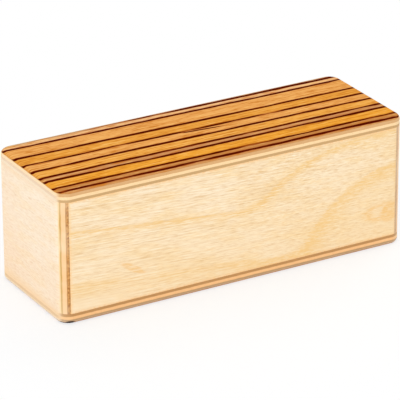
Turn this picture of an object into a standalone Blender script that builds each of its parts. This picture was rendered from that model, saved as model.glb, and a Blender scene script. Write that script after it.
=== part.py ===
"""Wooden box shaker: a glued plywood box, veneered above and below, with loose shot inside.

Units are metres. +X runs along the length, -Y is the front, +Z is up, and the origin is the
middle of the underside.
"""

import math

import bmesh
import bpy
from mathutils import Vector

# The glued box, outside
BODY_LENGTH = 0.2000
BODY_DEPTH = 0.0690
BODY_HEIGHT = 0.0714

# Rounding of the upright corners, and the smaller round-over along the upper and lower rims
CORNER_RADIUS = 0.0067
CORNER_SEGMENTS = 12
EDGE_RADIUS = 0.0025
EDGE_SEGMENTS = 8

# Sheet thicknesses, and the film of glue left between two sheets
VENEER_THICKNESS = 0.0010
BOARD_THICKNESS = 0.0045
END_THICKNESS = 0.0048
PANEL_THICKNESS = 0.0045
GLUE_LINE = 0.0001

# Loose shot: each bead rolls in its own lane across the chamber, front to back
BEAD_DIAMETER = 0.0040
MOST_BEADS = 40
BEAD_SPLIT_COUNT = 2
ROLLING_CLEARANCE = 0.0003
LEAST_LANE_GAP = 0.00075

# Colours (linear red, green, blue) and roughness of the finishes
VENEER_COLOUR = (0.78, 0.38, 0.09)
BOARD_COLOUR = (0.81, 0.55, 0.29)
END_COLOUR = (0.84, 0.68, 0.49)
PANEL_COLOUR = (0.84, 0.64, 0.39)
STEEL_COLOUR = (0.58, 0.57, 0.55)
LACQUER_ROUGHNESS = 0.40
STEEL_ROUGHNESS = 0.30

# Bevel profile that follows a quarter of a circle
CIRCLE_PROFILE = 0.5

# Face angle above which an edge is shaded sharp
SHARP_ANGLE = math.radians(35)

# Share of a turn that spreads places evenly without repeating
GOLDEN_SHARE = (math.sqrt(5) - 1) / 2

# Ways to look along the box
LEFT, RIGHT = Vector((-1, 0, 0)), Vector((1, 0, 0))
FRONT, BACK = Vector((0, -1, 0)), Vector((0, 1, 0))
DOWN, UP = Vector((0, 0, -1)), Vector((0, 0, 1))

# Heights of the joints between the sheets, counted from the underside
lower_board_face = VENEER_THICKNESS + GLUE_LINE
floor_height = lower_board_face + BOARD_THICKNESS
wall_bottom = floor_height + GLUE_LINE
wall_top = BODY_HEIGHT - wall_bottom
ceiling_height = BODY_HEIGHT - floor_height
upper_board_face = BODY_HEIGHT - lower_board_face

# Distances of the inner joints from the middle of the box
end_inner_face = BODY_LENGTH / 2 - END_THICKNESS
panel_reach = end_inner_face - GLUE_LINE
panel_inner_face = BODY_DEPTH / 2 - PANEL_THICKNESS


def clear_scene():
    """Remove every object that the file opened with."""
    for thing in list(bpy.data.objects):
        bpy.data.objects.remove(thing, do_unlink=True)


def new_collection(name):
    """Add an empty collection to the scene."""
    collection = bpy.data.collections.new(name)
    bpy.context.scene.collection.children.link(collection)
    return collection


def give_finish(thing, colour, roughness, metallic=0.0):
    """Give a piece a material of its own."""
    material = bpy.data.materials.new(f"{thing.name}_finish")
    material.use_nodes = True
    shader = material.node_tree.nodes["Principled BSDF"]
    shader.inputs["Base Color"].default_value = (*colour, 1.0)
    shader.inputs["Roughness"].default_value = roughness
    shader.inputs["Metallic"].default_value = metallic
    thing.data.materials.append(material)


def finished_mesh(name, form):
    """Turn a modelled form into a mesh that shades its round stretches smooth."""
    mesh = bpy.data.meshes.new(name)
    form.to_mesh(mesh)
    form.free()
    mesh.shade_smooth()
    mesh.set_sharp_from_angle(angle=SHARP_ANGLE)
    return mesh


def new_object(name, mesh, location, parts, body):
    """Place a mesh among the parts, carried by the body."""
    thing = bpy.data.objects.new(name, mesh)
    thing.location = location
    thing.parent = body
    parts.objects.link(thing)
    return thing


def is_upright(edge):
    """Whether an edge of the block runs up and down."""
    start, end = edge.verts
    return abs(end.co.z - start.co.z) > edge.calc_length() / 2


def round_over(form, edges, radius, segments):
    """Round some edges of a form to a radius."""
    bmesh.ops.bevel(
        form,
        geom=edges,
        offset=radius,
        segments=segments,
        profile=CIRCLE_PROFILE,
        affect="EDGES",
    )


def rounded_block():
    """The glued box as one block: its upright corners rounded first, then its two rims."""
    block = bmesh.new()
    bmesh.ops.create_cube(block, size=1.0)
    bmesh.ops.scale(block, vec=(BODY_LENGTH, BODY_DEPTH, BODY_HEIGHT), verts=block.verts)
    bmesh.ops.translate(block, vec=UP * BODY_HEIGHT / 2, verts=block.verts)
    round_over(block, [edge for edge in block.edges if is_upright(edge)], CORNER_RADIUS, CORNER_SEGMENTS)
    round_over(block, [edge for edge in block.edges if not is_upright(edge)], EDGE_RADIUS, EDGE_SEGMENTS)
    return block


def saw_off(form, direction, distance):
    """Saw a form square to a direction, drop what lies beyond that distance and close the cut."""
    whole = [*form.verts, *form.edges, *form.faces]
    saw_place = direction * distance
    sawn = bmesh.ops.bisect_plane(form, geom=whole, plane_co=saw_place, plane_no=direction, clear_outer=True)
    rim = [part for part in sawn["geom_cut"] if isinstance(part, bmesh.types.BMEdge)]
    bmesh.ops.edgeloop_fill(form, edges=rim)


def make_sheet(name, block, cuts, parts, body):
    """One sheet of the box, sawn out of the block, with its origin at its middle."""
    form = block.copy()
    for direction, distance in cuts:
        saw_off(form, direction, distance)
    bmesh.ops.recalc_face_normals(form, faces=form.faces)
    low = Vector([min(vertex.co[axis] for vertex in form.verts) for axis in range(3)])
    high = Vector([max(vertex.co[axis] for vertex in form.verts) for axis in range(3)])
    middle = (low + high) / 2
    bmesh.ops.translate(form, vec=-middle, verts=form.verts)
    return new_object(name, finished_mesh(name, form), middle, parts, body)


def make_beads(parts, body):
    """The loose shot, resting on the chamber floor and scattered between front and back."""
    form = bmesh.new()
    bmesh.ops.create_icosphere(form, subdivisions=BEAD_SPLIT_COUNT, radius=BEAD_DIAMETER / 2)
    mesh = finished_mesh("bead", form)
    chamber_length = 2 * end_inner_face
    chamber_depth = 2 * panel_inner_face
    lanes = min(MOST_BEADS, int(chamber_length / (BEAD_DIAMETER + LEAST_LANE_GAP)))
    pitch = chamber_length / lanes
    travel = chamber_depth - BEAD_DIAMETER - 2 * ROLLING_CLEARANCE
    height = floor_height + ROLLING_CLEARANCE + BEAD_DIAMETER / 2
    beads = []
    for lane in range(lanes):
        along = (lane - (lanes - 1) / 2) * pitch
        across = ((lane * GOLDEN_SHARE) % 1.0 - 0.5) * travel
        name = f"bead_{lane + 1:02d}"
        beads.append(new_object(name, mesh, (along, across, height), parts, body))
    return beads


# Where each sheet is sawn: a direction, and the distance that way beyond which all is dropped
VENEERS = {
    "top_veneer": [(DOWN, VENEER_THICKNESS - BODY_HEIGHT)],
    "bottom_veneer": [(UP, VENEER_THICKNESS)],
}
BOARDS = {
    "top_board": [(DOWN, -ceiling_height), (UP, upper_board_face)],
    "bottom_board": [(DOWN, -lower_board_face), (UP, floor_height)],
}
BETWEEN_BOARDS = [(DOWN, -wall_bottom), (UP, wall_top)]
BETWEEN_ENDS = [(LEFT, panel_reach), (RIGHT, panel_reach)]
ENDS = {
    "left_end_panel": [*BETWEEN_BOARDS, (RIGHT, -end_inner_face)],
    "right_end_panel": [*BETWEEN_BOARDS, (LEFT, -end_inner_face)],
}
SOUND_PANELS = {
    "front_panel": [*BETWEEN_BOARDS, *BETWEEN_ENDS, (BACK, -panel_inner_face)],
    "back_panel": [*BETWEEN_BOARDS, *BETWEEN_ENDS, (FRONT, -panel_inner_face)],
}

clear_scene()
shaker_parts = new_collection("wooden_shaker")
box_body = bpy.data.objects.new("box_body", None)
shaker_parts.objects.link(box_body)

glued_box = rounded_block()
finishes = ((VENEERS, VENEER_COLOUR), (BOARDS, BOARD_COLOUR), (ENDS, END_COLOUR), (SOUND_PANELS, PANEL_COLOUR))
for sheets, sheet_colour in finishes:
    for sheet_name, sheet_cuts in sheets.items():
        sheet = make_sheet(sheet_name, glued_box, sheet_cuts, shaker_parts, box_body)
        give_finish(sheet, sheet_colour, LACQUER_ROUGHNESS)
glued_box.free()
loose_beads = make_beads(shaker_parts, box_body)
give_finish(loose_beads[0], STEEL_COLOUR, STEEL_ROUGHNESS, metallic=1.0)
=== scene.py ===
# %% [markdown]
# # A wooden box shaker
# This lesson dresses a small hand-held shaker: a closed plywood box with a striped veneer above and
# below, and loose steel shot inside. The sizes, the moving beads and the places of all pieces come
# from a finished engineering model, the frame. It is loaded first and stays fixed, and every piece
# made here rides on one of its bodies.

# %% Load the frame
import math

import bmesh
import bpy
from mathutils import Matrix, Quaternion, Vector


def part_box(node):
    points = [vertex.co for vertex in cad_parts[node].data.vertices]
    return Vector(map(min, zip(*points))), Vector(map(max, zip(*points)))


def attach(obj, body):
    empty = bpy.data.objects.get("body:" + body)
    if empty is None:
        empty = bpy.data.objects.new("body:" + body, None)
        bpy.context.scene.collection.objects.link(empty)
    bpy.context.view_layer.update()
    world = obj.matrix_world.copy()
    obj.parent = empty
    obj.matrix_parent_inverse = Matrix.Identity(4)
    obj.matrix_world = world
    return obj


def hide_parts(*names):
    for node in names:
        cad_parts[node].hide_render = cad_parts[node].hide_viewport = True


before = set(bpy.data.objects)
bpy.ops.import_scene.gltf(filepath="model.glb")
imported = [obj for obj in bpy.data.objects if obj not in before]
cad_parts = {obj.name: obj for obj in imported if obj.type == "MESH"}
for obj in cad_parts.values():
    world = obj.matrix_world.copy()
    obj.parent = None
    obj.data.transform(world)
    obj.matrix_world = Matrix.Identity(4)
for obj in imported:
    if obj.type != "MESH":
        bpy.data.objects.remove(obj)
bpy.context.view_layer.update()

# %% [markdown]
# ## Looking at the box
# A product picture of this kind is taken from far away with a long lens, so that the edges of the
# box stay nearly parallel. A camera could be aimed by hand in the viewport. Here it is placed by a
# turn round the box, a height angle and a distance from the point it aims at, because those are the
# numbers that one would change.

# %% Camera
MM = 0.001
CAMERA_TURN = math.radians(-29.782)
CAMERA_RISE = math.radians(23.705)
CAMERA_ROLL = math.radians(-0.259)
CAMERA_DISTANCE = 1602.4 * MM
CAMERA_TARGET = Vector((-1.20, 1.04, 33.05)) * MM
CAMERA_LENS = 281.0

away = Vector((
    math.sin(CAMERA_TURN) * math.cos(CAMERA_RISE),
    -math.cos(CAMERA_TURN) * math.cos(CAMERA_RISE),
    math.sin(CAMERA_RISE),
))
camera = bpy.data.objects.new("camera", bpy.data.cameras.new("camera"))
camera.data.lens = CAMERA_LENS
camera.location = CAMERA_TARGET + away * CAMERA_DISTANCE
camera.rotation_mode = "QUATERNION"
camera.rotation_quaternion = (-away).to_track_quat("-Z", "Y") @ Quaternion((0, 0, 1), CAMERA_ROLL)
bpy.context.scene.collection.objects.link(camera)
bpy.context.scene.camera = camera
print("camera stands at", [round(value, 3) for value in camera.location])

# %% [markdown]
# ## A solid from a stack of outlines
# All eight wooden sheets are flat slabs cut from one rounded box. A bevel modifier could round a
# single cube, but here the rounding runs on from sheet to sheet, across every joint. So each sheet
# is lofted instead: level outlines with equally many points are stacked, neighbours are joined by a
# belt of faces, and both ends are closed. The piece then stands for one node of the frame.

# %% Loft helper
SHARP_ANGLE = math.radians(30)


def loft(name, outlines):
    """A closed solid through a stack of (height, outline) pairs with equally many points each."""
    form = bmesh.new()
    belts = [[form.verts.new((x, y, height)) for x, y in outline] for height, outline in outlines]
    for lower, upper in zip(belts, belts[1:]):
        for here in range(len(lower)):
            after = (here + 1) % len(lower)
            form.faces.new((lower[here], lower[after], upper[after], upper[here]))
    form.faces.new(reversed(belts[0]))
    form.faces.new(belts[-1])
    bmesh.ops.recalc_face_normals(form, faces=form.faces)
    mesh = bpy.data.meshes.new(name)
    form.to_mesh(mesh)
    form.free()
    mesh.shade_smooth()
    mesh.set_sharp_from_angle(angle=SHARP_ANGLE)
    piece = bpy.data.objects.new(name, mesh)
    bpy.context.scene.collection.objects.link(piece)
    flats = piece.modifiers.new("flats_shade_flat", "WEIGHTED_NORMAL")
    flats.keep_sharp = True
    return piece


def seat(piece, node):
    """Let a piece stand for a node of the frame, on the box."""
    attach(piece, "box")
    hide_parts(node)
    print(piece.name, "stands for", node, "with", len(piece.data.polygons), "faces")
    return piece


print("edges that bend by more than", round(math.degrees(SHARP_ANGLE)), "degrees stay sharp")

# %% [markdown]
# ## The plan of the box
# After gluing, the upright corners of the box were rounded on a sander, and a small router bit ran
# round the two rims. Cut level at any height, the box is therefore a rectangle with round corners,
# drawn in near the rims by a quarter circle. Bevels would give the same form, but not points that
# lie in the same places on every sheet, so both roundings are written as formulas.

# %% Plan and rims
CORNER_RADIUS = 6.7 * MM
CORNER_STEPS = 24
EDGE_RADIUS = 2.5 * MM
QUARTER = math.pi / 2

foot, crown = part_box("bottom_veneer")[0].z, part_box("top_veneer")[1].z
half_length, half_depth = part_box("top_board")[1].x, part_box("top_board")[1].y
corner_x, corner_y = half_length - CORNER_RADIUS, half_depth - CORNER_RADIUS


def corner_arc(side_x, side_y, start, end, inset):
    """Points on the rounding of one upright corner, from one angle to another."""
    points = []
    for step in range(CORNER_STEPS + 1):
        angle = start + (end - start) * step / CORNER_STEPS
        x = side_x * corner_x + (CORNER_RADIUS - inset) * math.cos(angle)
        y = side_y * corner_y + (CORNER_RADIUS - inset) * math.sin(angle)
        points.append((x, y))
    return points


def box_outline(inset):
    """The plan of the box, drawn in by an inset."""
    points = []
    for turn, side in enumerate(((1, 1), (-1, 1), (-1, -1), (1, -1))):
        points += corner_arc(*side, turn * QUARTER, (turn + 1) * QUARTER, inset)
    return points


def rim_inset(height):
    """How far the round-over of the rims draws the plan in at one height."""
    rise = max(EDGE_RADIUS - min(height - foot, crown - height), 0.0)
    return EDGE_RADIUS - math.sqrt(max(EDGE_RADIUS**2 - rise**2, 0.0))


print("the plan has", len(box_outline(0.0)), "points")
print("at the rims it is drawn in by", rim_inset(crown) / MM, "mm")

# %% [markdown]
# ## Boards and veneers
# The top and bottom are plywood boards with a striped veneer glued on. The frame leaves a film of
# glue between the sheets. Booleans could fill and cut such joints, but they leave long thin faces
# on the rounding. Here each sheet grows by half of the film, so that neighbours meet, and a hair of
# a chamfer makes the joint a visible line.

# %% Boards and veneers as lofts
EDGE_STEPS = 14
HALF_GLUE = 0.05 * MM
SEAM_EASE = 0.06 * MM
LEAST_STEP = 0.04 * MM


def make_sheet(name, node):
    """A board or veneer over the whole plan, chamfered where it meets its neighbour."""
    low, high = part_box(node)[0].z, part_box(node)[1].z
    angles = [QUARTER * step / EDGE_STEPS for step in range(EDGE_STEPS + 1)]
    drops = [EDGE_RADIUS * (1 - math.cos(angle)) for angle in angles]
    levels = sorted([foot + drop for drop in drops] + [crown - drop for drop in drops])
    stack = []
    if low > foot:
        low -= HALF_GLUE
        stack.append((low, box_outline(rim_inset(low) + SEAM_EASE)))
        low += SEAM_EASE
    full_high = high + HALF_GLUE - SEAM_EASE if high < crown else high
    between = [level for level in levels if low + LEAST_STEP < level < full_high - LEAST_STEP]
    stack += [(level, box_outline(rim_inset(level))) for level in [low, *between, full_high]]
    if high < crown:
        stack.append((high + HALF_GLUE, box_outline(rim_inset(high + HALF_GLUE) + SEAM_EASE)))
    return seat(loft(name, stack), node)


top_veneer = make_sheet("top_veneer_striped", "top_veneer")
bottom_veneer = make_sheet("bottom_veneer_striped", "bottom_veneer")
top_board = make_sheet("top_board_ply", "top_board")
bottom_board = make_sheet("bottom_board_ply", "bottom_board")

# %% [markdown]
# ## The two ends
# Each end is a plywood sheet that stands between the boards. The rounding of the upright corners is
# larger than the end is thick, so its front and back edges are cut away in an arc, which is why the
# layers of the plywood show so broadly there. A box cut by a cylinder would do, but an outline that
# follows the arc itself keeps its points in line with those of the boards. It turns in along the
# joint with the same fine chamfer as the boards have.

# %% Ends as lofts


def chamfered(node, outline):
    """Stack one outline between the boards, drawn in by the chamfer at its foot and at its head."""
    low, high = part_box(node)[0].z - HALF_GLUE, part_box(node)[1].z + HALF_GLUE
    return [
        (low, outline(SEAM_EASE)),
        (low + SEAM_EASE, outline(0.0)),
        (high - SEAM_EASE, outline(0.0)),
        (high, outline(SEAM_EASE)),
    ]


def make_end(name, node, side):
    """The left (side -1) or right (side 1) end."""
    joint_x = min(abs(corner.x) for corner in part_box(node)) - HALF_GLUE
    turn = math.acos((joint_x + SEAM_EASE - corner_x) / CORNER_RADIUS)

    def outline(inset):
        front = corner_arc(1, -1, -turn, 0.0, inset)
        back = corner_arc(1, 1, 0.0, turn, inset)
        joint_y = back[-1][1] - SEAM_EASE
        points = [*front, *back, (joint_x, joint_y), (joint_x, -joint_y)]
        return [(side * x, y) for x, y in points]

    return seat(loft(name, chamfered(node, outline)), node)


left_end = make_end("left_end_ply", "left_end_panel", -1)
right_end = make_end("right_end_ply", "right_end_panel", 1)

# %% [markdown]
# ## The two sound panels
# The front and back panels are struck by the shot from inside. They are let in between the ends and
# the boards and sanded flush, so their outer corners still follow the last bit of the rounding. A
# plain slab would stand proud there by a hair, so the outline takes in that bit of the arc.

# %% Sound panels as lofts


def make_panel(name, node, facing):
    """The front (facing -1) or back (facing 1) panel."""
    low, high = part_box(node)
    joint_x = high.x + HALF_GLUE
    inner_y = min(abs(low.y), abs(high.y))
    turn = math.acos((joint_x - SEAM_EASE - corner_x) / CORNER_RADIUS)

    def outline(inset):
        right = corner_arc(1, 1, turn, QUARTER, inset)
        left = corner_arc(-1, 1, QUARTER, 2 * QUARTER - turn, inset)
        joint_y = right[0][1] - SEAM_EASE
        inside = [(-joint_x, joint_y), (-joint_x, inner_y), (joint_x, inner_y), (joint_x, joint_y)]
        return [(x, facing * y) for x, y in [*right, *left, *inside]]

    return seat(loft(name, chamfered(node, outline)), node)


front_panel = make_panel("front_panel_ply", "front_panel", -1)
back_panel = make_panel("back_panel_ply", "back_panel", 1)

# %% [markdown]
# ## The loose shot
# The beads are never seen, but they are the voice of the box. New spheres could replace them, but
# their solids are right as they are, only faceted. So a subdivision surface makes each one round,
# and the frame keeps their places and their joints.

# %% Shot
SHOT_LEVELS = 2

shot = [node for name, node in sorted(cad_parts.items()) if name.startswith("bead_")]
for bead in shot:
    rounder = bead.modifiers.new("rounder", "SUBSURF")
    rounder.levels = rounder.render_levels = SHOT_LEVELS
print("shot:", len(shot), "beads")

# %% [markdown]
# ## Writing shaders as sums
# A finish is a tree of nodes, and a tree is hard to read as a list of links. The small class below
# wraps one output socket, so that `1 - mask` or `depth * 2` adds the right Math node by itself. The
# operators have a reflected form too, for when the number stands on the left.

# %% Wires


class Wire:
    """A value on its way through a tree of nodes. Arithmetic on wires adds Math nodes."""

    def __init__(self, tree, socket):
        self.tree = tree
        self.socket = socket

    def maths(self, operation, *values):
        return self.tree.add("ShaderNodeMath", {"operation": operation}, dict(enumerate(values)))

    def __add__(self, other):
        return self.maths("ADD", self, other)

    def __radd__(self, other):
        return self.maths("ADD", other, self)

    def __sub__(self, other):
        return self.maths("SUBTRACT", self, other)

    def __rsub__(self, other):
        return self.maths("SUBTRACT", other, self)

    def __mul__(self, other):
        return self.maths("MULTIPLY", self, other)

    def __rmul__(self, other):
        return self.maths("MULTIPLY", other, self)

    def __truediv__(self, other):
        return self.maths("DIVIDE", self, other)

    def __rtruediv__(self, other):
        return self.maths("DIVIDE", other, self)

    def __pow__(self, other):
        return self.maths("POWER", self, other)

    def __rpow__(self, other):
        return self.maths("POWER", other, self)

    def __abs__(self):
        return self.maths("ABSOLUTE", self)

    def larger(self, other):
        return self.maths("MAXIMUM", self, other)

    def smaller(self, other, blend):
        """The smaller of two values, with a soft bend where they cross."""
        return self.maths("SMOOTH_MIN", self, other, blend)

    def fade(self, start, end):
        """0 at start, 1 at end, with a soft run between, whichever is the larger."""
        sockets = {"Value": self, "From Min": start, "From Max": end}
        return self.tree.add("ShaderNodeMapRange", {"interpolation_type": "SMOOTHSTEP"}, sockets)


print("a wire turns + - * / ** and abs into Math nodes")

# %% [markdown]
# ## Growing a tree
# Every other node comes from one method, which takes the kind of node, its settings and its
# sockets. The settings come first, because some of them decide which sockets a node has. Node
# groups could hold what is used often, such as noise or a blend of two colours. Short methods do
# the same here and leave fewer names to keep in mind.

# %% Trees
LENS_RAYS = ("Is Camera Ray", "Is Glossy Ray", "Is Transmission Ray")


class Tree:
    """A tree of nodes that grows by one method."""

    def __init__(self, node_tree):
        self.node_tree = node_tree

    def add(self, kind, settings=None, sockets=None, output=0):
        """Add a node: first its settings, then the values or wires of its sockets."""
        node = self.node_tree.nodes.new(kind)
        for name, value in (settings or {}).items():
            setattr(node, name, value)
        self.fill(node, sockets or {})
        return Wire(self, node.outputs[output])

    def fill(self, node, sockets):
        """Give sockets of a node their values or wires."""
        for name, value in sockets.items():
            if isinstance(value, Wire):
                self.node_tree.links.new(value.socket, node.inputs[name])
            else:
                node.inputs[name].default_value = value

    def noise(self, x, y, z=0.0, detail=2.0, roughness=0.5):
        """Smooth noise from 0 to 1, about one wave for each unit of the point."""
        point = self.add("ShaderNodeCombineXYZ", None, {0: x, 1: y, 2: z})
        sockets = {"Vector": point, "Scale": 1.0, "Detail": detail, "Roughness": roughness}
        return self.add("ShaderNodeTexNoise", None, sockets)

    def blend(self, share, first, second):
        """A colour that runs from the first to the second as share goes from 0 to 1."""
        settings = {"data_type": "RGBA", "clamp_factor": True}
        return self.add("ShaderNodeMix", settings, {0: share, 6: first, 7: second}, 2)

    def seen_by_lens(self):
        """1 for what the lens sees straight on, in a mirror or through glass, and 0 for light."""
        straight, mirrored, through = [self.add("ShaderNodeLightPath", output=ray) for ray in LENS_RAYS]
        return straight.larger(mirrored).larger(through)


print("the lens follows", len(LENS_RAYS), "kinds of rays")

# %% [markdown]
# ## A finish
# All finishes here start alike: a Principled shader, and the place on the object in millimetres,
# because wood is a solid and its lines should run on round every edge. A texture that follows the
# place and not an unwrapped sheet gives that for nothing. A finish also knows where hands have
# rubbed the box, on its rims and corners, because a used box is duller there than on its faces.
# There its colour is also painted paler, as a painted highlight along the edges.

# %% Finishes
RIM_PATCH_WAVES = 0.06
CORNER_PATCH_GAIN = 4


class Finish(Tree):
    """One material on a Principled shader, with the place on the object in millimetres."""

    def __init__(self, name):
        self.material = bpy.data.materials.new(name)
        self.material.use_nodes = True
        super().__init__(self.material.node_tree)
        self.shader = self.node_tree.nodes["Principled BSDF"]
        place = self.add("ShaderNodeTexCoord", output="Object")
        place = self.add("ShaderNodeVectorMath", {"operation": "SCALE"}, {0: place, "Scale": 1 / MM})
        self.x, self.y, self.z = self.split(place)

    def split(self, vector):
        """The three parts of a vector."""
        return [self.add("ShaderNodeSeparateXYZ", None, {0: vector}, axis) for axis in "XYZ"]

    def facing(self):
        """How much a surface faces along X, Y and Z, each from 0 to 1, with a sum of 1."""
        parts = self.split(self.add("ShaderNodeTexCoord", output="Normal"))
        return [part * part for part in parts]

    def rim_patches(self, seed):
        """Rims and corners in patches, where hands rub the box dull and a highlight is painted: 0 on
        flat faces, and most at the corners.
        """
        past_rim = abs(self.z - (foot + crown) / 2 / MM) - (crown - foot) / 2 / MM
        rim = past_rim.fade(-EDGE_RADIUS / MM, 0.0)
        corner_x_share = (abs(self.x) - half_length / MM).fade(-CORNER_RADIUS / MM, 0.0)
        corner_y_share = (abs(self.y) - half_depth / MM).fade(-CORNER_RADIUS / MM, 0.0)
        x, y, z = [part * RIM_PATCH_WAVES for part in (self.x, self.y, self.z)]
        patches = self.noise(x + seed, y, z, detail=3.0)
        return rim.larger(corner_x_share * corner_y_share * CORNER_PATCH_GAIN) * patches.fade(0.40, 0.65)

    def shine(self, sockets):
        """Set the shader's own sockets to values or wires."""
        self.fill(self.shader, sockets)

    def relief(self, height, depth):
        """Bump from a height that runs from 0 to 1, with its real depth."""
        self.shine({"Normal": self.add("ShaderNodeBump", None, {"Height": height, "Distance": depth})})

    def give(self, *pieces):
        """Dress some pieces in this finish."""
        for piece in pieces:
            piece.data.materials.clear()
            piece.data.materials.append(self.material)
        print("finish", self.material.name, "has", len(self.node_tree.nodes), "nodes")


def paint(red, green, blue):
    """A colour as it looks on a screen, 0 to 255, as linear light."""

    def linear(value):
        share = value / 255
        return share / 12.92 if share <= 0.04045 else ((share + 0.055) / 1.055) ** 2.4

    return (linear(red), linear(green), linear(blue), 1.0)


print("paint turns mid grey into", round(paint(128, 128, 128)[0], 3))

# %% [markdown]
# ## Striped veneer
# The veneer is cut so that dark lines of late growth run along the box, nearly parallel, and the
# wood between them changes colour from strip to strip. A wave texture would space the lines evenly,
# so each line is listed instead: where it crosses the left end, the middle and the right end, how
# strong it is at those three places, and which colour follows behind it.

# %% Veneer lines
PALE_STRIP = paint(239, 171, 94)
BRIGHT_STRIP = paint(242, 166, 56)
WARM_STRIP = paint(236, 163, 67)
BROWN_STRIP = paint(207, 147, 93)
FRONT_STRIP = paint(206, 146, 88)

# Each line, counted from the front: its three places, its three strengths, and the strip behind it
TOP_LINES = (
    ((-32.15, -32.6, -33.15), (0.58, 0.88, 0.92), paint(198, 134, 74)),
    ((-27.0, -27.7, -28.0), (0.96, 0.98, 0.86), BRIGHT_STRIP),
    ((-17.8, -18.4, -18.9), (0.88, 1.10, 0.98), BROWN_STRIP),
    ((-12.8, -13.3, -14.0), (0.97, 1.10, 1.06), paint(240, 170, 76)),
    ((-3.6, -4.0, -5.3), (1.22, 1.04, 0.76), PALE_STRIP),
    ((5.4, 4.3, 2.9), (0.92, 0.87, 0.82), WARM_STRIP),
    ((15.4, 13.5, 11.7), (1.28, 1.06, 0.86), PALE_STRIP),
    ((27.7, 26.2, 25.3), (0.78, 1.00, 0.95), paint(245, 194, 136)),
    ((31.0, 31.0, 30.5), (0.05, 0.82, 1.55), paint(204, 168, 124)),
)
print("veneer:", len(TOP_LINES), "dark lines")

# %% [markdown]
# ## From a list of lines to strips
# The place across the veneer is bent a little by noise, so that the lines sway and fray as grown
# wood does. It also leans with the depth in the sheet, so that the lines hook sideways where the
# round-over cuts through them. Each line then adds two things: a step to the next strip's colour,
# and a peak that all lines share. One line has a short branch, which drifts away from it and fades
# out.

# %% Strips and lines
LINE_REACH = 2.0
LINE_LEAN = 1.5
HALF_STEP = 0.3
SWAY_WAVES, SWAY_REACH = (0.014, 0.06), 0.9
FRAY_WAVES, FRAY_REACH = (0.30, 0.6), 0.4
BRANCH_REACH = 1.2
BRANCH_START, BRANCH_END = (-0.05, 0.10), (1.0, 0.2)


def arch(places, along):
    """A value that runs through three given ones, at the left end, the middle and the right end."""
    left, middle, right = places
    return middle + along * ((right - left) / 2) + along * along * ((left + right) / 2 - middle)


def stretched(finish, along, across, waves, seed, **settings):
    """Noise with a number of waves in each millimetre along the fibres and across them."""
    waves_along, waves_across = waves
    return finish.noise(along * waves_along + seed, across * waves_across, **settings)


def strips_and_lines(finish, lines, depth, branch, seed):
    """The colour of the strips, and a peak that is highest in the middle of a dark line."""
    x, y = finish.x, finish.y
    along = x / (half_length / MM)
    sway = stretched(finish, x, y, SWAY_WAVES, seed, detail=1.0) - 0.5
    fray = stretched(finish, x, y, FRAY_WAVES, seed) - 0.5
    across = y - depth * depth * LINE_LEAN + sway * SWAY_REACH + fray * FRAY_REACH
    colour, peak = FRONT_STRIP, None
    for places, strengths, strip in lines:
        offset = across - arch(places, along)
        colour = finish.blend(offset.fade(-HALF_STEP, HALF_STEP), colour, strip)
        line = abs(offset).fade(LINE_REACH, 0.0) * arch(strengths, along)
        peak = line if peak is None else peak.larger(line)
    line_number, start, length, first_gap, last_gap = branch
    share = (x - start) / length
    gap = first_gap + share * (last_gap - first_gap)
    twig = abs(across - arch(lines[line_number][0], along) + gap).fade(BRANCH_REACH, 0.0)
    peak = peak.larger(twig * share.fade(*BRANCH_START) * share.fade(*BRANCH_END))
    return colour, peak


print("a line reaches", LINE_REACH, "mm, and an arch through 1, 2 and 5 ends at", arch((1, 2, 5), 1.0))

# %% [markdown]
# ## Spots of resin
# Where a dark line ends at a cut, its resin can bleed out and leave a nearly black spot. A spot
# could be painted on a picture. A soft ball of colour round one point does it without one, and it
# reaches into every sheet that it touches.

# %% Resin
SPOT_BLACK = paint(44, 10, 2)
SPOT_SQUASH = 1.8
SPOT_CORE = 0.7


def bleed(finish, colour, spots):
    """A colour with dark spots of resin on it."""
    for spot_x, spot_y, spot_z, reach in spots:
        off_x, off_y, off_z = finish.x - spot_x, finish.y - spot_y, (finish.z - spot_z) * SPOT_SQUASH
        from_spot = (off_x * off_x + off_y * off_y + off_z * off_z) ** 0.5
        colour = finish.blend(from_spot.fade(reach, reach * SPOT_CORE), colour, SPOT_BLACK)
    return colour


print("a spot is dark over", SPOT_CORE, "of its reach")

# %% [markdown]
# ## Veneer finish
# Over the strips lie long streaks, a shorter mottle and fine pores, all of them noise stretched
# along the fibres. A brown halo is laid where the peak of a line begins and a nearly black core
# where it is high, and patches make the lines swell and thin out. Along the side rims the sheet
# shows its cut ends, which drink lacquer, so the wood is browner and the lines are darker there.
# The wood is left without gloss: a polish would wash the dark lines out when seen at a low angle.

# %% Veneer finish
LINE_CORE = paint(84, 12, 0)
LINE_HALO = paint(158, 58, 0)
DARK_STREAK = paint(204, 122, 36)
LIGHT_STREAK = paint(250, 194, 112)
PORE_BROWN = paint(172, 98, 36)
EDGE_BROWN = paint(206, 138, 56)
STREAK_WAVES, STREAK_SHARE = (0.030, 0.8), 0.55
MOTTLE_WAVES, MOTTLE_SHARE = (0.15, 1.0), 0.45
PORE_WAVES = (0.12, 2.6)
PATCH_WAVES, PATCH_SWING = (0.04, 0.35), 2.2
RIM_DEPTH = 0.6
RIM_PEAK = 0.5
VENEER_RELIEF = 0.02 * MM


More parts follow.
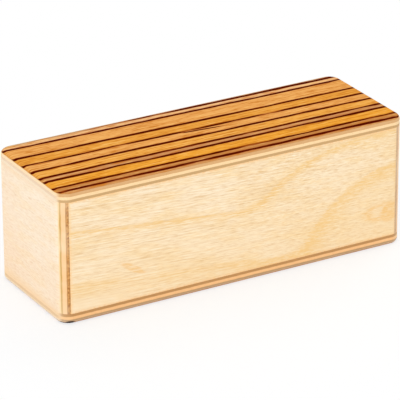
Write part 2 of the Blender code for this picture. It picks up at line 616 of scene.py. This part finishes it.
def striped_veneer(name, lines, depth_of, branch, spots, seed):
    """Strips and dark lines along the box, with streaks, pores and spots of resin."""
    finish = Finish(name)
    x, y = finish.x, finish.y
    depth = depth_of(finish.z)
    colour, peak = strips_and_lines(finish, lines, depth, branch, seed)
    streaks = stretched(finish, x, y, STREAK_WAVES, seed, detail=4.0, roughness=0.65)
    mottle = stretched(finish, x, y, MOTTLE_WAVES, seed, detail=3.0, roughness=0.6)
    pores = stretched(finish, x, y, PORE_WAVES, seed, detail=3.0)
    patches = stretched(finish, x, y, PATCH_WAVES, seed) - 0.5
    figure = streaks * STREAK_SHARE + mottle * MOTTLE_SHARE
    colour = finish.blend(figure.fade(0.48, 0.61) * 0.95, colour, DARK_STREAK)
    colour = finish.blend(figure.fade(0.48, 0.37) * 0.9, colour, LIGHT_STREAK)
    colour = finish.blend(pores.fade(0.55, 0.75) * 0.5, colour, PORE_BROWN)
    side_rim = depth.fade(0.0, RIM_DEPTH) * finish.facing()[0]
    colour = finish.blend(side_rim * 0.7, colour, EDGE_BROWN)
    peak = peak + patches * PATCH_SWING * peak.fade(0.2, 0.6)
    peak = peak + peak.fade(0.1, 0.4) * side_rim * RIM_PEAK
    core = peak.fade(0.38, 0.75)
    colour = finish.blend(peak.fade(0.12, 0.58) * 0.92, colour, LINE_HALO)
    colour = finish.blend(core, colour, LINE_CORE)
    roughness = 0.5 + pores * 0.2 - core * 0.1 + finish.rim_patches(seed) * 0.2
    finish.shine({"Base Color": bleed(finish, colour, spots), "Roughness": roughness})
    finish.shine({"Specular IOR Level": 0.0})
    finish.relief(1 - core * 0.5 - pores * 0.5, VENEER_RELIEF)
    return finish


print("veneer relief:", VENEER_RELIEF / MM, "mm")

# %% [markdown]
# ## Two veneers
# The bottom sheet comes from the same stack of wood. It could be listed line by line as the top is,
# but it hardly shows. So its lines are those of the top in reverse, as if the sheet was turned over
# and laid a little askew: they are shifted more at the left end than at the right. Only its front
# line is its own. That one comes out at the lower front-left corner, where its resin has bled into
# a dark spot.

# %% Veneers dressed
BOTTOM_SHIFTS = (-2.0, -1.0, 0.0)
CORNER_LINE = ((-32.2, -31.6, -31.0), (1.5, 1.1, 1.0), BROWN_STRIP)

# Each branch: the number of its line, where it starts, its length, and how far in front of the line it
# lies at its start and at its end
TOP_BRANCH = (5, -11.0, 36.0, 1.2, 4.2)
BOTTOM_BRANCH = (0, -101.0, 13.0, 0.4, 1.4)
# Each spot: its middle and its reach
BOTTOM_SPOTS = ((-95.2, -33.4, 0.6, 2.9),)


def below_crown(z):
    """Depth below the upper face of the box, in millimetres."""
    return crown / MM - z


def above_foot(z):
    """Height above the underside of the box, in millimetres."""
    return z - foot / MM


turned_lines = [
    (tuple(shift - place for shift, place in zip(BOTTOM_SHIFTS, places)), strengths[::-1], strip)
    for places, strengths, strip in reversed(TOP_LINES)
]
bottom_lines = (CORNER_LINE, *turned_lines[1:])
top_stripes = striped_veneer("top_stripes", TOP_LINES, below_crown, TOP_BRANCH, (), seed=3.0)
top_stripes.give(top_veneer)
bottom_stripes = striped_veneer(
    "bottom_stripes", bottom_lines, above_foot, BOTTOM_BRANCH, BOTTOM_SPOTS, seed=7.0
)
bottom_stripes.give(bottom_veneer)

# %% [markdown]
# ## Birch
# The faces of the box are rotary-cut birch under a satin lacquer: nearly white wood with soft warm
# clouds, yellow tints, long fibres, short flecks and specks, and pores as fine as hairs. A picture
# of birch would repeat and would have to be unwrapped. Here each of these is a noise instead, and
# all of them run the same way, so each is stretched along the fibres by its own amount.

# %% Birch
PALE_BIRCH = paint(253, 232, 199)
WARM_BIRCH = paint(248, 216, 163)
YELLOW_BIRCH = paint(253, 219, 158)
LIGHT_BIRCH = paint(255, 240, 212)
FIBRE_BIRCH = paint(230, 192, 140)
FLECK_BIRCH = paint(218, 176, 120)
CLOUD_WAVES = (0.022, 0.07)
TINT_WAVES = (0.06, 0.22)
FIBRE_WAVES = (0.03, 1.3)
FLECK_WAVES = (0.16, 1.5)
SPECK_WAVES = (0.32, 1.5)
HAIR_WAVES = (0.18, 4.5)
FIBRE_SHARE, FLECK_SHARE = 0.6, 0.4
CRISP = {"detail": 3.0, "roughness": 0.6}


def birch(finish, along, up, seed, pale, warm, contrast, speckled):
    """Birch with its fibres along one direction: its colour, its flecks and its grain."""
    clouds = stretched(finish, along, up, CLOUD_WAVES, seed, detail=3.0)
    tints = stretched(finish, along, up, TINT_WAVES, seed)
    fibres = stretched(finish, along, up, FIBRE_WAVES, seed, **CRISP)
    flecks = stretched(finish, along, up, FLECK_WAVES, seed, **CRISP)
    specks = stretched(finish, along, up, SPECK_WAVES, seed, **CRISP)
    hairs = stretched(finish, along, up, HAIR_WAVES, seed)
    grain = (fibres * FIBRE_SHARE + flecks * FLECK_SHARE) * (1 - speckled) + specks * speckled
    colour = finish.blend(clouds.fade(0.40, 0.64) * 0.7, pale, warm)
    colour = finish.blend(tints.fade(0.46, 0.64) * (0.33 * contrast), colour, YELLOW_BIRCH)
    colour = finish.blend(grain.fade(0.50, 0.36) * contrast, colour, LIGHT_BIRCH)
    colour = finish.blend(grain.fade(0.47, 0.70) * contrast, colour, FIBRE_BIRCH)
    colour = finish.blend(flecks.fade(0.58, 0.78) * (0.3 * contrast), colour, FLECK_BIRCH)
    colour = finish.blend(hairs.fade(0.50, 0.72) * (0.5 * contrast), colour, FLECK_BIRCH)
    colour = finish.blend(hairs.fade(0.50, 0.28) * (0.5 * contrast), colour, LIGHT_BIRCH)
    return colour, flecks, grain


print("pale birch in linear light:", [round(share, 2) for share in PALE_BIRCH[:3]])

# %% [markdown]
# ## Satin lacquer
# A thin coat of lacquer gives the birch a soft sheen. A coat layer on the shader would put a
# second, glassy gloss over the wood. Satin lacquer is duller, so the wood's own roughness stands
# for it: a bit higher where the grain opens and where hands have rubbed the coat away. There the
# colour is also painted paler, as a painted highlight along the rims. The grain is just felt through.

# %% Satin lacquer
LACQUER_ROUGHNESS = 0.42
LACQUER_RELIEF = 0.02 * MM


def lacquer(finish, colour, grain, seed):
    """Satin lacquer over a colour, rubbed dull at the edges and painted paler there as a highlight,
    with the grain just felt through it.
    """
    wear_and_highlight = finish.rim_patches(seed)
    # painted highlight: rims and corners are painted paler, towards light birch
    colour = finish.blend(wear_and_highlight * 0.15, colour, LIGHT_BIRCH)
    roughness = LACQUER_ROUGHNESS + grain * 0.16 + wear_and_highlight * 0.2
    finish.shine({"Base Color": colour, "Roughness": roughness, "Specular IOR Level": 0.25})
    finish.relief(grain, LACQUER_RELIEF)


print("lacquer relief:", LACQUER_RELIEF / MM, "mm")

# %% [markdown]
# ## Growth rings and ovals
# A knife that peels a log meets the growth rings at a low angle, so they wander over the sheet in
# wide sweeps while the fibres stay straight. Curves could be drawn for them, but a number called
# flow is simpler. It is equal all along one ring: nearly level on one half of the panel, and an
# ellipse round the lower right corner on the other. A ring is then a narrow range of flow, broken
# up by flecks and grain. Ovals are the places where the knife cut through a small bump or a knot.
# Some are hollow.

# %% Growth rings and ovals
RING_BIRCH = paint(243, 197, 118)
KNOT_BIRCH = paint(241, 184, 94)
RING_CENTRE = 103.0
RING_SQUASH = 0.61
RING_BLEND = 12.0
RING_EDGE = 1.2
LEVEL_SLOPE, LEVEL_START = 0.1, 28.6
FLOW_WAVES, FLOW_SWAY = (0.012, 0.02), 4.0
RISE_SPAN, CHANGE_SPAN = (40.0, 95.0), (-20.0, 40.0)
FLECK_BREAK = 7.5
OVAL_BREAK = 1.2


def sweep_rings(finish, colour, x, z, flecks, broken, rings, seed):
    """Lay growth rings over a colour."""
    sway = stretched(finish, x, z, FLOW_WAVES, seed, detail=1.0) - 0.5
    out_x = (x - RING_CENTRE) * RING_SQUASH
    swept = (out_x * out_x + z * z) ** 0.5
    level = z + x * LEVEL_SLOPE + LEVEL_START
    flow = swept.smaller(level, RING_BLEND) + sway * FLOW_SWAY + (flecks - 0.5) * FLECK_BREAK
    for edge, rise, width, left_strength, right_strength in rings:
        inside = edge + x.fade(*RISE_SPAN) * rise - flow
        ring = inside.fade(-RING_EDGE, 0.0) * inside.fade(width, 0.0) * broken
        strength = left_strength + x.fade(*CHANGE_SPAN) * (right_strength - left_strength)
        colour = finish.blend(ring * strength, colour, RING_BIRCH)
    return colour


def cut_ovals(finish, colour, x, z, flecks, broken, ovals):
    """Lay ovals over a colour."""
    for middle_x, middle_z, half_x, half_z, fall, hollow, strength in ovals:
        off_x = (x - middle_x) / half_x
        off_z = (z - middle_z + (x - middle_x) * fall) / half_z
        from_middle = (off_x * off_x + off_z * off_z) ** 0.5 + (flecks - 0.5) * OVAL_BREAK
        oval = from_middle.fade(1.15, 0.7) * (1 - from_middle.fade(0.9, 0.4) * hollow) * broken
        colour = finish.blend(oval * strength, colour, KNOT_BIRCH)
    return colour


print("rings sweep round a point", RING_CENTRE, "mm to the right of the middle")

# %% [markdown]
# ## Figure of the sound panels
# To the right the grain of a panel breaks into shorter and stronger specks. There the panel is also
# painted darker and warmer, a painted shade for light that falls from the left, and it is darker
# and warmer towards the foot, with one pale corner. Glue and dirt have left a ragged stain along the
# joints. All of this could be one hand-painted mask. As fades over a few spans along and up the
# panel, in millimetres, it stays easy to move.

# %% Figure of the sound panels
STAIN_BIRCH = paint(249, 202, 138)
STAIN_REACH = 1.7
STAIN_WAVES = (0.7, 0.8)
FIBRE_SLOPE = 0.05
SPECKLE_SPAN = (-30.0, 50.0)
RIGHT_SHADE_SPAN, WARM_FALL = (10.0, 95.0), (60.0, 5.0)
PALE_SPAN, PALE_FALL = (-45.0, -85.0), (17.0, 9.0)
CLEAN_SPAN = (0.0, 60.0)

panel_low, panel_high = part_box("front_panel")
panel_end = panel_high.x / MM
panel_middle = (panel_low.z + panel_high.z) / 2 / MM
panel_half = (panel_high.z - panel_low.z) / 2 / MM


def sound_panel(name, side, rings, ovals, seed):
    """Birch with sweeping rings and ovals, seen from the front (side 1) or the back (side -1)."""
    finish = Finish(name)
    x, z = finish.x * side, finish.z
    rightward = x.fade(*SPECKLE_SPAN)
    contrast, speckled = 1.12 + rightward * 0.3, 0.05 + rightward * 0.4
    woods = (PALE_BIRCH, WARM_BIRCH)
    colour, flecks, grain = birch(finish, x, z + x * FIBRE_SLOPE, seed, *woods, contrast, speckled)
    broken = 0.35 + grain.fade(0.38, 0.58) * 0.65
    colour = sweep_rings(finish, colour, x, z, flecks, broken, rings, seed)
    colour = cut_ovals(finish, colour, x, z, flecks, broken, ovals)
    # painted shade: darker and warmer to the right, away from the light on the left; also darker and
    # warmer towards the foot
    darker_and_warmer = z.fade(*WARM_FALL) * 0.28 + x.fade(*RIGHT_SHADE_SPAN) * 0.22
    colour = finish.blend(darker_and_warmer, colour, WARM_BIRCH)
    pale_corner = x.fade(*PALE_SPAN) * z.fade(*PALE_FALL)
    colour = finish.blend(pale_corner * 0.6, colour, PALE_BIRCH)
    to_side = panel_end - abs(x)
    to_board = panel_half - abs(z - panel_middle)
    side_stain = to_side.fade(STAIN_REACH, 0.0) * (1 - x.fade(*CLEAN_SPAN) * 0.6)
    stain = side_stain.larger(to_board.fade(STAIN_REACH, 0.0))
    ragged = stretched(finish, x, z, STAIN_WAVES, seed, detail=3.0).fade(0.35, 0.65)
    colour = finish.blend(stain * (0.35 + ragged * 0.5), colour, STAIN_BIRCH)
    lacquer(finish, colour, grain, seed)
    return finish


print("a panel is", round(2 * panel_end, 1), "mm long and", round(2 * panel_half, 1), "mm high")

# %% [markdown]
# ## Two sound panels
# On the front panel two rings fall slowly from the left and then sweep up to the right. Below them
# on the right is a hollow oval with a knot in it, and on the left a short slanted stroke. The back
# panel could be a copy of the front, but it is another sheet of wood, so it gets rings and an oval
# of its own.

# %% Sound panels dressed
# Each ring: the flow at its sharp edge, how much that rises to the right, its width, and its
# strength on the left and on the right
FRONT_RINGS = (
    (68.5, -3.0, 4.0, 0.70, 0.72),
    (40.0, 6.6, 12.0, 0.40, 0.86),
)
BACK_RINGS = (
    (76.0, -3.0, 4.0, 0.50, 0.50),
    (61.0, 2.0, 8.0, 0.20, 0.50),
    (38.0, 4.0, 5.0, 0.40, 0.50),
)
# Each oval: its middle along and up, its half sizes, its fall to the right, how hollow it is, and
# its strength
FRONT_OVALS = (
    (88.5, 20.3, 13.5, 5.2, 0.0, 0.9, 1.00),
    (91.8, 18.8, 6.0, 5.4, 0.0, 0.0, 0.80),
    (89.0, 20.8, 1.8, 1.8, 0.0, 0.0, 1.00),
    (-60.0, 22.6, 7.0, 2.2, 0.55, 0.0, 0.62),
)
BACK_OVALS = ((40.0, 52.0, 8.0, 3.0, 0.3, 0.7, 0.45),)

sound_panel("front_birch", 1, FRONT_RINGS, FRONT_OVALS, seed=1.0).give(front_panel)
sound_panel("back_birch", -1, BACK_RINGS, BACK_OVALS, seed=5.0).give(back_panel)

# %% [markdown]
# ## Layers of the plywood
# Plywood is glued from thin layers, the plies, laid crosswise. On an edge of the sheet a ply shows
# either its long fibres, which are pale, or its cut ends, which drink lacquer and turn brown. Each
# ply could be a piece of its own, but on the real sheet they are one. So colours are laid by the
# depth below a face, with soft borders that wobble a little, as a sander leaves them.

# %% Plies
PLY_BLUR = 0.12
PLY_WOBBLE = 0.3
PLY_WAVES = 0.2


def plies(finish, depth, layers, first_colour):
    """Colours by depth below a face: each layer begins at a depth and has a colour."""
    x, y, z = [part * PLY_WAVES for part in (finish.x, finish.y, finish.z)]
    wobble = finish.noise(x, y, z) - 0.5
    depth = depth + wobble * PLY_WOBBLE
    colour = first_colour
    for start, layer_colour in layers:
        colour = finish.blend(depth.fade(start - PLY_BLUR, start + PLY_BLUR), colour, layer_colour)
    return colour


print("a border between plies is", 2 * PLY_BLUR, "mm wide")

# %% [markdown]
# ## Board edges
# A board shows three plies, and next to the veneer a thin edge that the veneer's stain has
# coloured. The lower board is the browner of the two: partly its own wood, and partly painted shade
# on its edges, which face down to the paper. Its veneer's spot of resin has reached it. Going round
# a corner of the box, long fibres and cut ends change places. So each layer has two colours, one for
# the front and back and one for the sides, and the way the surface faces chooses between them, late
# in the bend. Two materials would leave a hard border there.

# %% Board edges
EDGE_PORE = paint(186, 140, 88)
EDGE_FIBRE = paint(206, 164, 112)
PORE_GRAIN = (1.5, 1.5, 2.5)
FIBRE_GRAIN = (0.08, 0.08, 3.0)

# Each layer: the depth where it begins, its colour to the front and back, its colour to the sides
TOP_PLIES = (
    (0.0, paint(206, 150, 86), paint(220, 156, 72)),
    (1.25, paint(221, 173, 118), paint(254, 225, 182)),
    (2.65, paint(255, 220, 168), paint(240, 212, 181)),
    (4.2, paint(206, 166, 114), paint(250, 229, 199)),
)
# painted shade in part: the lower board's plies are darker than the upper's, partly its own wood and
# partly shade of edges facing the paper
BOTTOM_PLIES_WITH_SHADE = (
    (0.0, paint(204, 174, 140), paint(248, 226, 196)),
    (1.75, paint(192, 154, 112), paint(246, 222, 190)),
    (2.65, paint(249, 197, 138), paint(235, 201, 158)),
    (4.2, paint(192, 142, 88), paint(250, 218, 176)),
)


def solid_noise(finish, waves, seed, **settings):
    """Noise all through the wood, with a number of waves in each millimetre along X, Y and Z."""
    x, y, z = [part * wave for part, wave in zip((finish.x, finish.y, finish.z), waves)]
    return finish.noise(x + seed, y, z, **settings)


def board_edges(name, depth_of, layers, spots, seed):
    """A board's layers, each in its two colours, with pores, fibres and dark spots."""
    finish = Finish(name)
    to_side, to_front, _ = finish.facing()
    sideways = (to_side / (to_side + to_front)).fade(0.6, 1.0)
    tones = [(start, finish.blend(sideways, front, side)) for start, front, side in layers]
    colour = plies(finish, depth_of(finish.z), tones[1:], tones[0][1])
    pores = solid_noise(finish, PORE_GRAIN, seed)
    fibres = solid_noise(finish, FIBRE_GRAIN, seed, detail=3.0)
    colour = finish.blend(pores.fade(0.55, 0.8) * 0.35, colour, EDGE_PORE)
    colour = finish.blend(fibres.fade(0.5, 0.8) * 0.3, colour, EDGE_FIBRE)
    lacquer(finish, bleed(finish, colour, spots), fibres * 0.5 + pores * 0.5, seed)
    return finish


board_edges("top_ply", below_crown, TOP_PLIES, (), seed=15.0).give(top_board)
board_edges("bottom_ply_with_shade", above_foot, BOTTOM_PLIES_WITH_SHADE, BOTTOM_SPOTS, seed=18.0).give(bottom_board)

# %% [markdown]
# ## Ends
# An end has a paler, pinker face than the sound panels: partly its own tint, and partly painted
# light for the brighter light on the left end, which the right end shares. Where the rounding cuts
# into it, its plies come out as upright bands: a thin tan line below the face, a pale layer, and a
# brown one at the joint. The brown one shows cut ends, so it is pitted, more on the left end than on
# the right. Pits could be modelled, but they are a fraction of a millimetre wide, so two colours of
# noise stand for them.

# %% Ends
# painted light in part: these end colours are paler than the panels' birch, partly the ends' own tint
# and partly the stronger light on the left end
END_PALE = paint(255, 240, 219)
END_CLOUD = paint(253, 231, 204)
END_WARM = paint(252, 224, 194)
END_STAIN = paint(248, 214, 172)
END_STAIN_REACH = 4.0
END_CONTRAST, END_SPECKLED = 0.64, 0.6
END_SPAN = (-20.0, 35.0)
PIT_BROWN = paint(150, 84, 28)
PIT_LIGHT = paint(230, 175, 106)
PIT_WAVES = (0.7, 0.7, 0.8)
PIT_SPAN = (3.0, 4.2)

# Each layer: the depth where it begins, and its colour
LEFT_LAYERS = (
    (0.66, paint(252, 217, 163)),
    (1.00, paint(208, 165, 92)),
    (1.55, paint(250, 203, 149)),
    (3.28, paint(190, 134, 76)),
    (3.50, paint(199, 142, 78)),
    (4.50, paint(178, 120, 56)),
)
RIGHT_LAYERS = (
    (0.50, paint(240, 204, 166)),
    (1.00, paint(222, 184, 134)),
    (1.48, paint(244, 203, 160)),
    (3.15, paint(210, 172, 132)),
    (3.50, paint(206, 170, 132)),
    (4.40, paint(229, 194, 148)),
)


def end_birch(name, layers, pitted, seed):
    """An end's face, with its plies where the rounding goes deep."""
    finish = Finish(name)
    darker_and_warmer = finish.z.fade(*WARM_FALL) * 0.55 + finish.y.fade(*END_SPAN) * 0.5
    woods = [finish.blend(darker_and_warmer, wood, END_WARM) for wood in (END_PALE, END_CLOUD)]
    colour, _, grain = birch(finish, finish.y, finish.z, seed, *woods, END_CONTRAST, END_SPECKLED)
    to_board = panel_half - abs(finish.z - panel_middle)
    colour = finish.blend(to_board.fade(END_STAIN_REACH, 0.0) * 0.45, colour, END_STAIN)
    depth = half_length / MM - abs(finish.x)
    colour = plies(finish, depth, layers, colour)
    x, y, z = [part * wave for part, wave in zip((finish.x, finish.y, finish.z), PIT_WAVES)]
    pits = finish.noise(x, y, z + seed, detail=3.0)
    opened = depth.fade(*PIT_SPAN) * pitted
    colour = finish.blend(pits.fade(0.50, 0.66) * opened, colour, PIT_BROWN)
    colour = finish.blend(pits.fade(0.50, 0.34) * opened, colour, PIT_LIGHT)
    lacquer(finish, colour, grain, seed)
    return finish


end_birch("left_birch", LEFT_LAYERS, pitted=0.7, seed=9.0).give(left_end)
end_birch("right_birch", RIGHT_LAYERS, pitted=0.3, seed=12.0).give(right_end)

# %% [markdown]
# ## Steel shot
# Shot is tumbled smooth, then scuffed by every shake. A mirror finish would look new, and a dull
# grey would not look like steel. Noise stands for the scuffs: where it is high the steel is duller
# and darker.

# %% Steel
STEEL_BRIGHT = paint(196, 194, 190)
STEEL_DULL = paint(160, 157, 152)
STEEL_RELIEF = 0.02 * MM
SCUFF_WAVES = 0.9

steel = Finish("scuffed_steel")
scuffs = steel.noise(*[part * SCUFF_WAVES for part in (steel.x, steel.y, steel.z)], detail=4.0)
steel.shine({
    "Base Color": steel.blend(scuffs, STEEL_BRIGHT, STEEL_DULL),
    "Roughness": 0.18 + scuffs * 0.3,
    "Metallic": 1.0,
})
steel.relief(scuffs, STEEL_RELIEF)
steel.give(*shot)

# %% [markdown]
# ## White paper
# The box stands on a wide sheet of white paper. More light would whiten the paper, but it would
# bleach the wood too. The lens should see the paper white, and it still has to catch the shadow of
# the box, so what the lens sees is part glow and part lit paper. Far from the box only the glow is
# left. Light that bounces off the paper knows nothing of this.

# %% Paper floor
PAPER_REACH = 40.0
PAPER_GLOW = 0.66
PAPER_TONE = (0.98, 0.98, 0.98, 1.0)
SHADOW_NEAR, SHADOW_FAR = 110.0, 190.0

corner_signs = ((-1, -1), (1, -1), (1, 1), (-1, 1))
paper_mesh = bpy.data.meshes.new("paper")
paper_corners = [(PAPER_REACH * sign_x, PAPER_REACH * sign_y, 0.0) for sign_x, sign_y in corner_signs]
paper_mesh.from_pydata(paper_corners, [], [(0, 1, 2, 3)])
paper_sheet = bpy.data.objects.new("paper_floor", paper_mesh)
paper_sheet.location.z = foot
bpy.context.scene.collection.objects.link(paper_sheet)

paper = Finish("white_paper")
paper.shine({"Base Color": PAPER_TONE, "Roughness": 0.9, "Specular IOR Level": 0.0})
far = ((paper.x * paper.x + paper.y * paper.y) ** 0.5).fade(SHADOW_NEAR, SHADOW_FAR)
glow = paper.add("ShaderNodeEmission", None, {"Color": (1, 1, 1, 1), "Strength": 1.0})
lit = Wire(paper, paper.shader.outputs[0])
share = paper.seen_by_lens() * (PAPER_GLOW + far * (1 - PAPER_GLOW))
mixed = paper.add("ShaderNodeMixShader", None, {0: share, 1: lit, 2: glow})
paper.fill(paper.node_tree.nodes["Material Output"], {"Surface": mixed})
paper.give(paper_sheet)

# %% [markdown]
# ## Soft light
# A white room gives most of the light, a large softbox from the front left models the box, and a
# weaker one behind on the right keeps the far sides from going dull. A sun lamp would throw hard
# shadows that such a picture doesn't have. Together they light a surface at a level where its
# colour looks as it was written.

# %% World and lamps
SKY_LEVEL = 0.76
SKY_SEEN = 1.0

world = bpy.data.worlds.new("studio")
world.use_nodes = True
bpy.context.scene.world = world
sky = Tree(world.node_tree)
sky_strength = SKY_LEVEL + sky.seen_by_lens() * (SKY_SEEN - SKY_LEVEL)
sky.fill(world.node_tree.nodes["Background"], {"Color": (1, 1, 1, 1), "Strength": sky_strength})


def softbox(name, place, size, power):
    """A square lamp that looks at the box."""
    lamp = bpy.data.lights.new(name, "AREA")
    lamp.shape = "SQUARE"
    lamp.size = size
    lamp.energy = power
    stand = bpy.data.objects.new(name, lamp)
    stand.location = place
    stand.rotation_mode = "QUATERNION"
    stand.rotation_quaternion = (-Vector(place)).to_track_quat("-Z", "Y")
    bpy.context.scene.collection.objects.link(stand)
    print(name, "stands", round(Vector(place).length, 2), "m away")


softbox("key_softbox", (-2.15, -2.1, 2.6), size=2.0, power=47.0)
softbox("fill_softbox", (2.6, 1.2, 1.9), size=2.0, power=18.0)
bpy.context.scene.view_settings.view_transform = "Standard"
